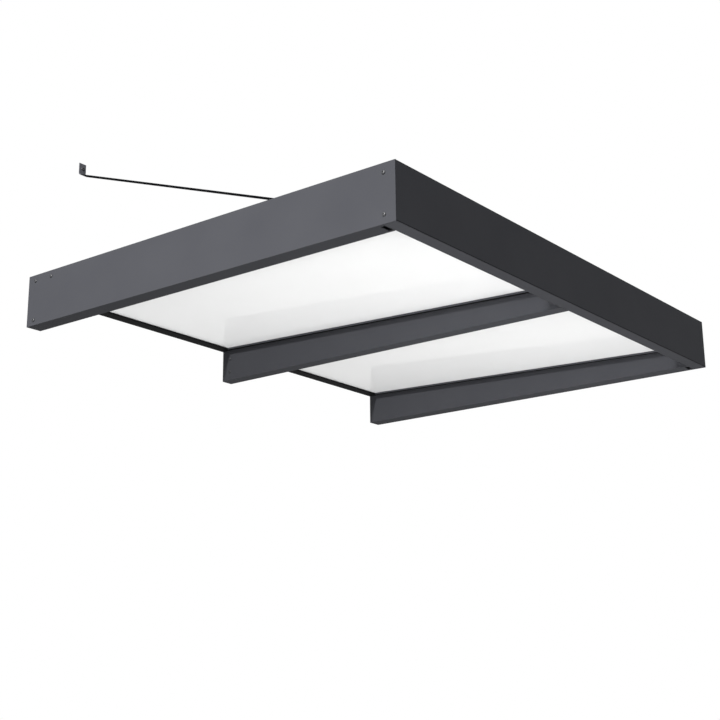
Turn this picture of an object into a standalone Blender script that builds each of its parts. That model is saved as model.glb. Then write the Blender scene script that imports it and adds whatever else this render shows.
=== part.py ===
"""Door canopy: an aluminium frame of box beams with two opal roof sheets, hung on two flat stays.

Metres, +Z up. The wall is the plane Y = 0 and the canopy reaches out along -Y. X = 0 is the middle
of its width, and the origin is the middle of the frame's wall side. Inside the functions heights are
measured from the frame's top edge, which one empty carries.
"""
import math

import bmesh
import bpy

# Frame
WIDTH = 1.500
DEPTH = 1.180
HEIGHT = 0.137
SIDE_BEAM_WIDTH = 0.046
MIDDLE_BEAM_WIDTH = 0.038
FRONT_BEAM_DEPTH = 0.0345
FRONT_GROOVE_WIDTH = 0.0014
FRONT_GROOVE_DEPTH = 0.001
FRONT_GROOVE_FROM_BOTTOM = 0.0014
BEAM_WALL = 0.002
EDGE_RADIUS = 0.001
FIT = 0.0003

# Drain slots in the undersides of the side beams
DRAIN_SLOT_WIDTH = 0.030
DRAIN_SLOT_LENGTH = 0.011
DRAIN_SLOT_FROM_OUTSIDE = 0.009
DRAIN_SLOT_FROM_FRONT_BEAM = 0.0012

# Roof sheets and what carries them
ROOF_FALL_DEG = 2.03
SHEET_DROP = 0.0388
SHEET_THICKNESS = 0.005
SHEET_EDGE_GAP = 0.002
LEDGE_WIDTH = 0.0125
LEDGE_HEIGHT = 0.005
LEDGE_WALL = 0.0015
SEAL_WIDTH = 0.008
SEAL_HEIGHT = 0.006
SEAL_ROUNDING = 0.002

# Wall profiles
WALL_PROFILE_DEPTH = 0.031
WALL_PROFILE_WEB = 0.0025
WALL_PROFILE_FLANGE = 0.002
WALL_PROFILE_LIP = 0.0054
WALL_PROFILE_FROM_TOP = 0.008
WALL_PROFILE_HOLE = 0.005
WALL_PROFILE_HOLE_FROM_END = 0.090

# Brackets inside the beams
BRACKET_THICKNESS = 0.003
BRACKET_MARGIN = 0.016
WALL_BOLT_SPACING = 0.070

# Screws: head diameter, head height and shank diameter
SCREW_HEAD = 0.0096
SCREW_HEAD_HEIGHT = 0.0030
SCREW_SHANK = 0.0045
SMALL_HEAD = 0.0076
SMALL_HEAD_HEIGHT = 0.0024
SMALL_SHANK = 0.0035
BOLT_HEAD = 0.013
BOLT_HEAD_HEIGHT = 0.0045
BOLT_SHANK = 0.0065
SCREW_THROUGH = 0.0025
SOCKET_SHARE = 0.40

# Where the screws sit
SIDE_SCREW_NEAR = 0.0262
SIDE_SCREW_FAR = 0.0876
SIDE_SCREW_FROM_TOP = 0.0164
SIDE_SCREW_FROM_BOTTOM = 0.0143
FRONT_SCREW_FROM_TOP = 0.0220
FRONT_SCREW_FROM_BOTTOM = 0.0215
FRONT_SCREW_LENGTH = 0.018
PORT_WALL = 0.0015
MIDDLE_SCREW_FROM_END = 0.029
MIDDLE_SCREW_UPPER = 0.072
MIDDLE_SCREW_LOWER = 0.111
MIDDLE_FRONT_SCREW_UPPER = 0.022
MIDDLE_FRONT_SCREW_LOWER = 0.057

# Stays
STAY_INSET = 0.156
STAY_WIDTH = 0.024
STAY_THICKNESS = 0.0015
STAY_RISE = 0.3367
STAY_PLATE = 0.0341
STAY_WALL_SCREW_UP = 0.0198
STAY_BEND_RADIUS = 0.008
STAY_SHEET_CLEARANCE = 0.0012
STAY_FRONT_PLATE = 0.034
STAY_FRONT_SCREW_UP = 0.022

# Detail of round shapes
ROUND_STEPS = 16
DOME_STEPS = 3
BEND_STEPS = 5

# Colours: red, green and blue, then roughness and metallic
ANTHRACITE = ((0.048, 0.049, 0.054), 0.55, 0.0)
SCREW_COAT = ((0.060, 0.062, 0.067), 0.38, 0.0)
BLACK_COAT = ((0.014, 0.014, 0.016), 0.50, 0.0)
OPAL = ((0.86, 0.87, 0.88), 0.22, 0.0)
RUBBER = ((0.012, 0.012, 0.012), 0.80, 0.0)
BARE_ALUMINIUM = ((0.62, 0.63, 0.64), 0.38, 1.0)
STAINLESS = ((0.56, 0.56, 0.55), 0.28, 1.0)
STAY_BLACK = ((0.028, 0.030, 0.035), 0.45, 0.0)

FALL = math.radians(ROOF_FALL_DEG)
INNER_FRONT = -(DEPTH - FRONT_BEAM_DEPTH)
SIDES = (("left", -1), ("right", 1))


# Scene
def clear_scene():
    """Removes every object that the file starts with."""
    for thing in list(bpy.data.objects):
        bpy.data.objects.remove(thing, do_unlink=True)


def new_collection(name):
    made = bpy.data.collections.new(name)
    bpy.context.scene.collection.children.link(made)
    return made


clear_scene()
PARTS = new_collection("door_canopy")
CUTTERS = new_collection("cutters")

FRAME_TOP = bpy.data.objects.new("frame_top", None)
FRAME_TOP.location = (0.0, 0.0, HEIGHT / 2)
PARTS.objects.link(FRAME_TOP)


def make_material(name, look):
    """One Principled material from a colour, a roughness and a metallic value."""
    colour, roughness, metallic = look
    made = bpy.data.materials.new(name)
    made.use_nodes = True
    shader = made.node_tree.nodes["Principled BSDF"]
    shader.inputs["Base Color"].default_value = (*colour, 1.0)
    shader.inputs["Roughness"].default_value = roughness
    shader.inputs["Metallic"].default_value = metallic
    return made


COAT = make_material("anthracite_coat", ANTHRACITE)
DARK_COAT = make_material("black_coat", BLACK_COAT)
OPAL_SHEET = make_material("opal_sheet", OPAL)
SEAL_RUBBER = make_material("seal_rubber", RUBBER)
BRACKET_METAL = make_material("bare_aluminium", BARE_ALUMINIUM)
SCREW_METAL = make_material("stainless_steel", STAINLESS)
COATED_SCREW = make_material("coated_screw", SCREW_COAT)
STAY_COAT = make_material("stay_coat", STAY_BLACK)


# Building helpers
def add_object(name, mesh, location, rotation=(0.0, 0.0, 0.0)):
    """Puts a mesh in the scene at a place measured from the frame's top edge."""
    made = bpy.data.objects.new(name, mesh)
    made.location = location
    made.rotation_euler = rotation
    made.parent = FRAME_TOP
    PARTS.objects.link(made)
    return made


def set_material(thing, look):
    thing.data.materials.clear()
    thing.data.materials.append(look)


def box_mesh(name, size):
    """A box of the given size about its own middle."""
    work = bmesh.new()
    bmesh.ops.create_cube(work, size=1.0)
    bmesh.ops.scale(work, vec=size, verts=work.verts)
    mesh = bpy.data.meshes.new(name)
    work.to_mesh(mesh)
    work.free()
    return mesh


def box_between(name, low, high):
    """A box from its lowest to its highest corner."""
    size = [high[i] - low[i] for i in range(3)]
    middle = [(high[i] + low[i]) / 2 for i in range(3)]
    return add_object(name, box_mesh(name, size), middle)


def outline_mesh(name, loops, length):
    """A flat outline with its holes, filled and pulled out to a length along its own Z."""
    curve = bpy.data.curves.new(name + "_outline", "CURVE")
    curve.dimensions = "2D"
    curve.fill_mode = "BOTH"
    curve.extrude = length / 2
    for loop in loops:
        spline = curve.splines.new("POLY")
        spline.points.add(len(loop) - 1)
        for point, place in zip(spline.points, loop):
            point.co = (place[0], place[1], 0.0, 1.0)
        spline.use_cyclic_u = True
    guide = bpy.data.objects.new(name + "_outline", curve)
    PARTS.objects.link(guide)
    bpy.context.view_layer.update()
    seen = guide.evaluated_get(bpy.context.evaluated_depsgraph_get())
    mesh = bpy.data.meshes.new_from_object(seen)
    bpy.data.objects.remove(guide, do_unlink=True)
    bpy.data.curves.remove(curve)
    weld(mesh)
    mesh.name = name
    return mesh


def weld(mesh):
    """Joins an outline's caps to its sides and turns every face outward."""
    work = bmesh.new()
    work.from_mesh(mesh)
    bmesh.ops.remove_doubles(work, verts=work.verts, dist=0.00001)
    bmesh.ops.recalc_face_normals(work, faces=work.faces)
    work.to_mesh(mesh)
    work.free()


def cut(target, cutter):
    """Takes the cutter's shape out of the target."""
    for holder in list(cutter.users_collection):
        holder.objects.unlink(cutter)
    CUTTERS.objects.link(cutter)
    cutter.hide_render = True
    cutter.display_type = "WIRE"
    step = target.modifiers.new(cutter.name, "BOOLEAN")
    step.operation = "DIFFERENCE"
    step.solver = "EXACT"
    step.object = cutter


def drill(target, name, place, direction, diameter, length):
    """A round hole through the target, centred on a place, along X, Y or Z."""
    work = bmesh.new()
    bmesh.ops.create_cone(
        work,
        cap_ends=True,
        segments=ROUND_STEPS,
        radius1=diameter / 2,
        radius2=diameter / 2,
        depth=length,
    )
    mesh = bpy.data.meshes.new(name)
    work.to_mesh(mesh)
    work.free()
    turns = {"X": (0.0, math.pi / 2, 0.0), "Y": (math.pi / 2, 0.0, 0.0), "Z": (0.0, 0.0, 0.0)}
    cut(target, add_object(name, mesh, place, turns[direction]))


def corner_arc(centre, radius, start, end, steps):
    """Points on an arc from one angle to another, in degrees."""
    points = []
    for i in range(steps + 1):
        angle = math.radians(start + (end - start) * i / steps)
        points.append((centre[0] + radius * math.cos(angle), centre[1] + radius * math.sin(angle)))
    return points


def rounded_rectangle(low, high, radius):
    """A rectangle's outline with its corners rounded."""
    points = []
    corners = ((high[0], high[1], 0), (low[0], high[1], 90), (low[0], low[1], 180), (high[0], low[1], 270))
    for x, y, turn in corners:
        inward_x = radius if x == low[0] else -radius
        inward_y = radius if y == low[1] else -radius
        points += corner_arc((x + inward_x, y + inward_y), radius, turn, turn + 90, 2)
    return points


def rectangle(low, high):
    return [(low[0], low[1]), (high[0], low[1]), (high[0], high[1]), (low[0], high[1])]


def edge_radius():
    """The outer edges' rounding stays inside the wall's thickness."""
    return min(EDGE_RADIUS, 0.9 * BEAM_WALL)


def sheet_underside(y):
    """Height of the roof sheets' underside below the frame's top edge at a distance out."""
    return -SHEET_DROP + y * math.tan(FALL)


def sheet_top(y):
    return sheet_underside(y) + SHEET_THICKNESS / math.cos(FALL)


# Places across the width
def beam_outer(side):
    return side * WIDTH / 2


def beam_inner(side):
    return side * (WIDTH / 2 - SIDE_BEAM_WIDTH)


def bay(side):
    """The clear space between a side beam and the middle beam, from low X to high X."""
    return sorted((beam_inner(side), side * MIDDLE_BEAM_WIDTH / 2))


# Screws
def screw_mesh(name, head, head_height, shank, length, look=COATED_SCREW):
    """A domed head with a hexagon socket on a plain shank, its seat at its own Z = 0."""
    top = head / 2
    profile = []
    for i in range(DOME_STEPS + 1):
        angle = math.radians(90 - 75 * i / DOME_STEPS)
        profile.append((top * math.cos(angle), head_height * (0.25 + 0.75 * math.sin(angle))))
    profile[0] = (0.0, head_height)
    profile += [(top, 0.0), (shank / 2, 0.0), (shank / 2, -length), (0.0, -length)]
    mesh = bpy.data.meshes.new(name + "_profile")
    edges = [(i, i + 1) for i in range(len(profile) - 1)]
    mesh.from_pydata([(x, 0.0, z) for x, z in profile], edges, [])
    turned = bpy.data.objects.new(name + "_turned", mesh)
    PARTS.objects.link(turned)
    spin = turned.modifiers.new("turn", "SCREW")
    spin.steps = ROUND_STEPS
    spin.render_steps = ROUND_STEPS
    spin.use_merge_vertices = True
    spin.merge_threshold = 0.00001
    socket = socket_cutter(name, head, head_height)
    hollow = turned.modifiers.new("socket", "BOOLEAN")
    hollow.operation = "DIFFERENCE"
    hollow.solver = "EXACT"
    hollow.object = socket
    bpy.context.view_layer.update()
    seen = turned.evaluated_get(bpy.context.evaluated_depsgraph_get())
    made = bpy.data.meshes.new_from_object(seen)
    bpy.data.objects.remove(turned, do_unlink=True)
    bpy.data.objects.remove(socket, do_unlink=True)
    made.name = name
    made.materials.clear()
    made.materials.append(look)
    made.shade_smooth()
    made.set_sharp_from_angle(angle=math.radians(35))
    return made


def socket_cutter(name, head, head_height):
    """The hexagon that the screw's socket is cut with."""
    work = bmesh.new()
    bmesh.ops.create_cone(
        work,
        cap_ends=True,
        segments=6,
        radius1=head * SOCKET_SHARE / 2,
        radius2=head * SOCKET_SHARE / 2,
        depth=head_height * 1.2,
    )
    mesh = bpy.data.meshes.new(name + "_socket")
    work.to_mesh(mesh)
    work.free()
    made = bpy.data.objects.new(name + "_socket", mesh)
    made.location = (0.0, 0.0, head_height)
    CUTTERS.objects.link(made)
    return made


HEAD_TOWARD = {
    "-X": (0.0, -math.pi / 2, 0.0),
    "+X": (0.0, math.pi / 2, 0.0),
    "-Y": (math.pi / 2, 0.0, 0.0),
    "+Y": (-math.pi / 2, 0.0, 0.0),
}


def toward(side):
    """The direction that a screw head faces on a side's outer faces."""
    return "-X" if side < 0 else "+X"


def away(side):
    return "+X" if side < 0 else "-X"


# Side beams
def side_beam(label, side):
    """A box beam whose outer web alone runs on past the front beam's end."""
    low_x, high_x = sorted((beam_outer(side), beam_inner(side)))
    outer = rounded_rectangle((low_x, -HEIGHT), (high_x, 0.0), edge_radius())
    inner = rectangle((low_x + BEAM_WALL, -HEIGHT + BEAM_WALL), (high_x - BEAM_WALL, -BEAM_WALL))
    mesh = outline_mesh(label + "_beam", [outer, inner], DEPTH)
    beam = add_object(label + "_beam", mesh, (0.0, -DEPTH / 2, 0.0), (math.pi / 2, 0.0, 0.0))
    set_material(beam, COAT)
    web_inside = beam_outer(side) - side * BEAM_WALL
    past_inside = beam_inner(side) - side * 0.010
    low_x, high_x = sorted((web_inside, past_inside))
    notch = box_between(
        label + "_front_notch",
        (low_x, -DEPTH - 0.010, -HEIGHT - 0.010),
        (high_x, INNER_FRONT + FIT, 0.010),
    )
    cut(beam, notch)
    cut_drain_slot(beam, label, side)
    for name, y, z in side_screw_places():
        hole = SCREW_SHANK + 2 * FIT
        place = (beam_outer(side) - side * BEAM_WALL / 2, y, z)
        drill(beam, f"{label}_{name}_hole", place, "X", hole, BEAM_WALL * 3)
    return beam


def cut_drain_slot(beam, label, side):
    """The slot in the underside, just behind the front beam."""
    outside = beam_outer(side) - side * DRAIN_SLOT_FROM_OUTSIDE
    low_x, high_x = sorted((outside, outside - side * DRAIN_SLOT_WIDTH))
    front = INNER_FRONT + DRAIN_SLOT_FROM_FRONT_BEAM
    slot = box_between(
        label + "_drain_slot",
        (low_x, front, -HEIGHT - 0.005),
        (high_x, front + DRAIN_SLOT_LENGTH, -HEIGHT + BEAM_WALL + 0.005),
    )
    cut(beam, slot)


def side_screw_places():
    """Name, Y and height of the screws in a side beam's outer face."""
    upper = -SIDE_SCREW_FROM_TOP
    lower = -HEIGHT + SIDE_SCREW_FROM_BOTTOM
    places = [
        ("wall_screw_upper", -SIDE_SCREW_NEAR, upper),
        ("wall_screw_far", -SIDE_SCREW_FAR, upper),
        ("wall_screw_lower", -SIDE_SCREW_NEAR, lower),
        ("front_screw_upper", port_y(), -FRONT_SCREW_FROM_TOP),
        ("front_screw_lower", port_y(), -HEIGHT + FRONT_SCREW_FROM_BOTTOM),
    ]
    return places


def side_screws(label, side):
    """The five screws in a side beam: three into the wall bracket, two into the front beam."""
    length = BEAM_WALL + FIT + BRACKET_THICKNESS + SCREW_THROUGH
    short = screw_mesh("side_screw", SCREW_HEAD, SCREW_HEAD_HEIGHT, SCREW_SHANK, length)
    long = screw_mesh("front_screw", SCREW_HEAD, SCREW_HEAD_HEIGHT, SCREW_SHANK, FRONT_SCREW_LENGTH)
    seat = beam_outer(side) + side * FIT
    for name, y, z in side_screw_places():
        mesh = long if name.startswith("front") else short
        add_object(f"{label}_{name}", mesh, (seat, y, z), HEAD_TOWARD[toward(side)])


# Middle beam
def middle_end():
    """Where the middle beam stops behind the front beam."""
    return INNER_FRONT + FIT


def middle_screw_places():
    """Name, Y and height of the screws in a middle beam face."""
    wall = -MIDDLE_SCREW_FROM_END
    front = middle_end() + MIDDLE_SCREW_FROM_END
    places = [
        ("wall_upper", wall, -MIDDLE_SCREW_UPPER),
        ("wall_lower", wall, -MIDDLE_SCREW_LOWER),
        ("front_upper", front, -MIDDLE_FRONT_SCREW_UPPER),
        ("front_lower", front, -MIDDLE_FRONT_SCREW_LOWER),
    ]
    return places


def middle_beam():
    """The box beam from the wall to the front beam."""
    half = MIDDLE_BEAM_WIDTH / 2
    length = -middle_end()
    outer = rounded_rectangle((-half, -HEIGHT), (half, 0.0), edge_radius())
    inner = rectangle((-half + BEAM_WALL, -HEIGHT + BEAM_WALL), (half - BEAM_WALL, -BEAM_WALL))
    mesh = outline_mesh("middle_beam", [outer, inner], length)
    beam = add_object("middle_beam", mesh, (0.0, -length / 2, 0.0), (math.pi / 2, 0.0, 0.0))
    set_material(beam, COAT)
    for name, y, z in middle_screw_places():
        hole = SMALL_SHANK + 2 * FIT
        drill(beam, f"middle_{name}_hole", (0.0, y, z), "X", hole, MIDDLE_BEAM_WIDTH * 2)
    return beam


def middle_screws():
    """Small screws through both faces of the middle beam into its two brackets."""
    length = BEAM_WALL + FIT + BRACKET_THICKNESS + SCREW_THROUGH
    mesh = screw_mesh("middle_screw", SMALL_HEAD, SMALL_HEAD_HEIGHT, SMALL_SHANK, length)
    for label, side in SIDES:
        seat = side * (MIDDLE_BEAM_WIDTH / 2 + FIT)
        for name, y, z in middle_screw_places():
            add_object(f"middle_{name}_screw_{label}", mesh, (seat, y, z), HEAD_TOWARD[toward(side)])


# Front beam
def port_y():
    """Y of the screw ports along the inside of the front beam's rear web."""
    return INNER_FRONT - BEAM_WALL - SCREW_SHANK / 2 - FIT


def port_heights():
    return (-FRONT_SCREW_FROM_TOP, -HEIGHT + FRONT_SCREW_FROM_BOTTOM)


def front_cavity():
    """The front beam's hollow, running round the two screw ports on its rear web."""
    rear = INNER_FRONT - BEAM_WALL
    front = -DEPTH + BEAM_WALL
    top = -BEAM_WALL
    bottom = -HEIGHT + BEAM_WALL
    reach = SCREW_SHANK / 2 + FIT
    radius = reach + PORT_WALL
    opening = math.degrees(math.acos(reach / radius))
    points = [(rear, top), (front, top), (front, bottom), (rear, bottom)]
    for z in sorted(port_heights()):
        points += corner_arc((port_y(), z), radius, 360 - opening, opening, 10)
    return points


def front_beam():
    """The box beam across the front, between the side beams' outer webs."""
    outer = rounded_rectangle((-DEPTH, -HEIGHT), (INNER_FRONT, 0.0), edge_radius())
    loops = [outer, front_cavity()]
    for z in port_heights():
        ring = corner_arc((port_y(), z), SCREW_SHANK / 2 + FIT, 0, 360, ROUND_STEPS)
        loops.append(ring[:-1])
    length = WIDTH - 2 * (BEAM_WALL + FIT)
    mesh = outline_mesh("front_beam", loops, length)
    beam = add_object("front_beam", mesh, (0.0, 0.0, 0.0), (math.pi / 2, 0.0, math.pi / 2))
    set_material(beam, COAT)
    cut_front_groove(beam)
    for label, side in SIDES:
        place = (stay_x(side), INNER_FRONT - BEAM_WALL / 2, stay_front_screw_height())
        drill(beam, f"front_{label}_stay_hole", place, "Y", SCREW_SHANK + 2 * FIT, BEAM_WALL * 3)
    for name, z in joint_screw_heights():
        place = (0.0, INNER_FRONT - BEAM_WALL / 2, z)
        drill(beam, f"front_{name}_joint_hole", place, "Y", SCREW_SHANK + 2 * FIT, BEAM_WALL * 3)
    return beam


def cut_front_groove(beam):
    """The fine shadow groove along the lower edge of the front face."""
    low = -HEIGHT + FRONT_GROOVE_FROM_BOTTOM
    groove = box_between(
        "front_groove",
        (-WIDTH, -DEPTH - 0.005, low),
        (WIDTH, -DEPTH + FRONT_GROOVE_DEPTH, low + FRONT_GROOVE_WIDTH),
    )
    cut(beam, groove)


# Brackets
def bracket_height():
    return HEIGHT - 2 * BEAM_WALL - 2 * FIT


def bolt_heights():
    """Name and height of the bolts that hold a bracket to the wall."""
    middle = -HEIGHT / 2
    return (("upper", middle + WALL_BOLT_SPACING / 2), ("lower", middle - WALL_BOLT_SPACING / 2))


def joint_screw_heights():
    return bolt_heights()


def side_bracket(label, side):
    """An angle inside a side beam: a plate on the wall and a stepped leg along the outer web."""
    outside = side * (WIDTH / 2 - BEAM_WALL - FIT)
    inside = side * (WIDTH / 2 - SIDE_BEAM_WIDTH + BEAM_WALL + FIT)
    leg = outside - side * BRACKET_THICKNESS
    near = -SIDE_SCREW_NEAR - BRACKET_MARGIN
    far = -SIDE_SCREW_FAR - BRACKET_MARGIN
    angle = [(outside, 0.0), (outside, far), (leg, far), (leg, -BRACKET_THICKNESS)]
    angle += [(inside, -BRACKET_THICKNESS), (inside, 0.0)]
    mesh = outline_mesh(label + "_wall_bracket", [angle], bracket_height())
    bracket = add_object(label + "_wall_bracket", mesh, (0.0, 0.0, -HEIGHT / 2))
    set_material(bracket, BRACKET_METAL)
    step = -SIDE_SCREW_FROM_TOP - BRACKET_MARGIN
    low_x, high_x = sorted((outside + side * 0.005, leg - side * 0.005))
    low_corner = (low_x, far - 0.010, -HEIGHT - 0.010)
    cut(bracket, box_between(label + "_bracket_step", low_corner, (high_x, near, step)))
    for name, y, z in side_screw_places()[:3]:
        place = ((outside + leg) / 2, y, z)
        hole = SCREW_SHANK + 2 * FIT
        drill(bracket, f"{label}_bracket_{name}_hole", place, "X", hole, BRACKET_THICKNESS * 3)
    for name, z in bolt_heights():
        place = (side_bolt_x(side), -BRACKET_THICKNESS / 2, z)
        hole = BOLT_SHANK + 2 * FIT
        drill(bracket, f"{label}_bracket_{name}_bolt_hole", place, "Y", hole, BRACKET_THICKNESS * 3)
    return bracket


def side_bolt_x(side):
    """The middle of the side bracket's wall plate, clear of its leg."""
    outside = WIDTH / 2 - BEAM_WALL - FIT - BRACKET_THICKNESS
    inside = WIDTH / 2 - SIDE_BEAM_WIDTH + BEAM_WALL + FIT
    return side * (outside + inside) / 2


def middle_bracket(name, base, outward, screw_heights):
    """A channel inside the middle beam, its back plate on the wall or on the front beam."""
    half = MIDDLE_BEAM_WIDTH / 2 - BEAM_WALL - FIT
    tip = base + outward * (MIDDLE_SCREW_FROM_END + BRACKET_MARGIN)
    plate = base + outward * BRACKET_THICKNESS
    cheek = half - BRACKET_THICKNESS
    channel = [(-half, base), (-half, tip), (-cheek, tip), (-cheek, plate)]
    channel += [(cheek, plate), (cheek, tip), (half, tip), (half, base)]
    mesh = outline_mesh(name, [channel], bracket_height())
    bracket = add_object(name, mesh, (0.0, 0.0, -HEIGHT / 2))
    set_material(bracket, BRACKET_METAL)
    screw_y = base + outward * MIDDLE_SCREW_FROM_END
    for label, drop in zip(("upper", "lower"), screw_heights):
        hole = SMALL_SHANK + 2 * FIT
        drill(bracket, f"{name}_{label}_hole", (0.0, screw_y, -drop), "X", hole, MIDDLE_BEAM_WIDTH * 2)
    return bracket


def middle_brackets():
    wall_drops = (MIDDLE_SCREW_UPPER, MIDDLE_SCREW_LOWER)
    front_drops = (MIDDLE_FRONT_SCREW_UPPER, MIDDLE_FRONT_SCREW_LOWER)
    wall = middle_bracket("middle_wall_bracket", 0.0, -1, wall_drops)
    front = middle_bracket("middle_front_bracket", middle_end(), 1, front_drops)
    for name, z in bolt_heights():
        hole = BOLT_SHANK + 2 * FIT
        place = (0.0, -BRACKET_THICKNESS / 2, z)
        drill(wall, f"middle_{name}_bolt_hole", place, "Y", hole, BRACKET_THICKNESS * 3)
    for name, z in joint_screw_heights():
        hole = SCREW_SHANK + 2 * FIT
        place = (0.0, middle_end() + BRACKET_THICKNESS / 2, z)
        drill(front, f"middle_{name}_joint_hole", place, "Y", hole, BRACKET_THICKNESS * 3)


def bracket_bolts():
    """Bolts in the wall brackets, cut off at the wall's plane, and screws into the front beam."""
    length = BRACKET_THICKNESS + FIT
    bolt = screw_mesh("wall_bolt", BOLT_HEAD, BOLT_HEAD_HEIGHT, BOLT_SHANK, length, SCREW_METAL)
    seat = -BRACKET_THICKNESS - FIT
    places = [("left", side_bolt_x(-1)), ("middle", 0.0), ("right", side_bolt_x(1))]
    for label, x in places:
        for name, z in bolt_heights():
            add_object(f"{label}_wall_bolt_{name}", bolt, (x, seat, z), HEAD_TOWARD["-Y"])
    length = BRACKET_THICKNESS + 2 * FIT + BEAM_WALL + SCREW_THROUGH
    screw = screw_mesh("joint_screw", SCREW_HEAD, SCREW_HEAD_HEIGHT, SCREW_SHANK, length, SCREW_METAL)
    seat = middle_end() + BRACKET_THICKNESS + FIT
    for name, z in joint_screw_heights():
        add_object(f"middle_joint_screw_{name}", screw, (0.0, seat, z), HEAD_TOWARD["+Y"])


# Roof
def sloped_span(rear, front, low, high):
    """Start and length of a sloped piece whose section lies between two heights off the slope."""
    start = rear + low * math.sin(FALL)
    length = (start - high * math.sin(FALL) - front) / math.cos(FALL)
    return start, length


def on_slope(start, length):
    """Y and height of a sloped piece's middle, on the line of the sheets' underside."""
    y = start - length / 2 * math.cos(FALL)
    z = sheet_underside(start) - length / 2 * math.sin(FALL)
    return y, z


def roof_sheet(label, side):
    """An opal sheet lying in its bay with the roof's fall."""
    low_x, high_x = bay(side)
    rear = -WALL_PROFILE_WEB - SHEET_EDGE_GAP
    start, length = sloped_span(rear, INNER_FRONT + SHEET_EDGE_GAP, 0.0, SHEET_THICKNESS)
    y, z = on_slope(start, length)
    rise = SHEET_THICKNESS / 2
    y -= rise * math.sin(FALL)
    z += rise * math.cos(FALL)
    size = (high_x - low_x - 2 * SHEET_EDGE_GAP, length, SHEET_THICKNESS)
    mesh = box_mesh(label + "_roof_sheet", size)
    sheet = add_object(label + "_roof_sheet", mesh, ((low_x + high_x) / 2, y, z), (FALL, 0.0, 0.0))
    set_material(sheet, OPAL_SHEET)


def ledge_outline(face, inward, top):
    """A small channel's section, open below: a leg on the beam, a web under the sheet and a lip."""
    back = face + inward * FIT
    nose = back + inward * LEDGE_WIDTH
    leg = back + inward * LEDGE_WALL
    lip = nose - inward * LEDGE_WALL
    web = top - LEDGE_WALL
    low = top - LEDGE_HEIGHT
    return [(back, top), (nose, top), (nose, low), (lip, low), (lip, web), (leg, web), (leg, low), (back, low)]


def side_ledge(name, face, inward):
    """A ledge along a beam, from the wall profile to the front beam."""
    rear = -WALL_PROFILE_DEPTH - FIT
    low = -FIT - LEDGE_HEIGHT
    start, length = sloped_span(rear, INNER_FRONT + FIT, low, -FIT)
    y, z = on_slope(start, length)
    mesh = outline_mesh(name, [ledge_outline(face, inward, -FIT)], length)
    ledge = add_object(name, mesh, (0.0, y, z), (math.pi / 2 + FALL, 0.0, 0.0))
    set_material(ledge, COAT)


def front_ledge(name, side):
    """A level ledge on the front beam's rear face, between the two sloping ones."""
    low_x, high_x = bay(side)
    length = high_x - low_x - 2 * (LEDGE_WIDTH + 2 * FIT)
    section = ledge_outline(INNER_FRONT, 1, sheet_underside(INNER_FRONT) - FIT)
    mesh = outline_mesh(name, [section], length)
    middle = (low_x + high_x) / 2
    ledge = add_object(name, mesh, (middle, 0.0, 0.0), (math.pi / 2, 0.0, math.pi / 2))
    set_material(ledge, COAT)


def side_seal(name, face, inward):
    """A rubber seal on the sheet along a beam, rounded on its free top edge."""
    low = SHEET_THICKNESS + FIT
    high = low + SEAL_HEIGHT
    back = face + inward * FIT
    nose = back + inward * SEAL_WIDTH
    rounding = min(SEAL_ROUNDING, 0.9 * SEAL_HEIGHT, 0.9 * SEAL_WIDTH)
    centre = (nose - inward * rounding, high - rounding)
    turn = (0, 90) if inward > 0 else (180, 90)
    points = [(back, low), (nose, low)]
    points += corner_arc(centre, rounding, turn[0], turn[1], 3)
    points += [(back, high)]
    start, length = sloped_span(-WALL_PROFILE_WEB - FIT, INNER_FRONT + FIT, low, high)
    y, z = on_slope(start, length)
    mesh = outline_mesh(name, [points], length)
    seal = add_object(name, mesh, (0.0, y, z), (math.pi / 2 + FALL, 0.0, 0.0))
    set_material(seal, SEAL_RUBBER)


def wall_profile(label, side):
    """The dark profile under the sheet's rear edge: a web on the wall, a flange and its front lip."""
    low_x, high_x = bay(side)
    length = high_x - low_x - 2 * FIT
    front = -WALL_PROFILE_DEPTH
    lip_inside = front + WALL_PROFILE_FLANGE
    lip_top = sheet_underside(front) - FIT
    underside = lip_top - WALL_PROFILE_LIP
    flange = underside + WALL_PROFILE_FLANGE
    top = -WALL_PROFILE_FROM_TOP
    points = [(0.0, top), (0.0, underside), (front, underside), (front, lip_top)]
    points += [(lip_inside, lip_top), (lip_inside, flange)]
    points += [(-WALL_PROFILE_WEB, flange), (-WALL_PROFILE_WEB, top)]
    mesh = outline_mesh(label + "_wall_profile", [points], length)
    middle = (low_x + high_x) / 2
    turn = (math.pi / 2, 0.0, math.pi / 2)
    profile = add_object(label + "_wall_profile", mesh, (middle, 0.0, 0.0), turn)
    set_material(profile, DARK_COAT)
    height = (top + sheet_top(0.0)) / 2
    for i, x in enumerate((low_x + WALL_PROFILE_HOLE_FROM_END, middle, high_x - WALL_PROFILE_HOLE_FROM_END)):
        place = (x, -WALL_PROFILE_WEB / 2, height)
        name = f"{label}_profile_hole_{i + 1}"
        drill(profile, name, place, "Y", WALL_PROFILE_HOLE, WALL_PROFILE_WEB * 3)


# Stays
def stay_x(side):
    return side * (WIDTH / 2 - STAY_INSET)


def stay_front_corner():
    """Where the stay's middle line meets the front plate's, so that the bend just clears the sheet."""
    y = INNER_FRONT + FIT + STAY_THICKNESS / 2
    z = sheet_top(y)
    for _ in range(20):
        slope = math.atan2(STAY_RISE - z, -y - STAY_THICKNESS / 2)
        tangent = STAY_BEND_RADIUS * math.tan((math.pi / 2 + slope) / 2)
        low = z + tangent * math.sin(slope) - STAY_BEND_RADIUS * (1 - math.cos(slope))
        low_y = y + tangent * math.cos(slope) - STAY_BEND_RADIUS * math.sin(slope)
        z += sheet_top(low_y) + STAY_SHEET_CLEARANCE + STAY_THICKNESS / 2 - low
    return y, z


def stay_front_screw_height():
    return stay_front_corner()[1] + STAY_FRONT_SCREW_UP


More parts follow.
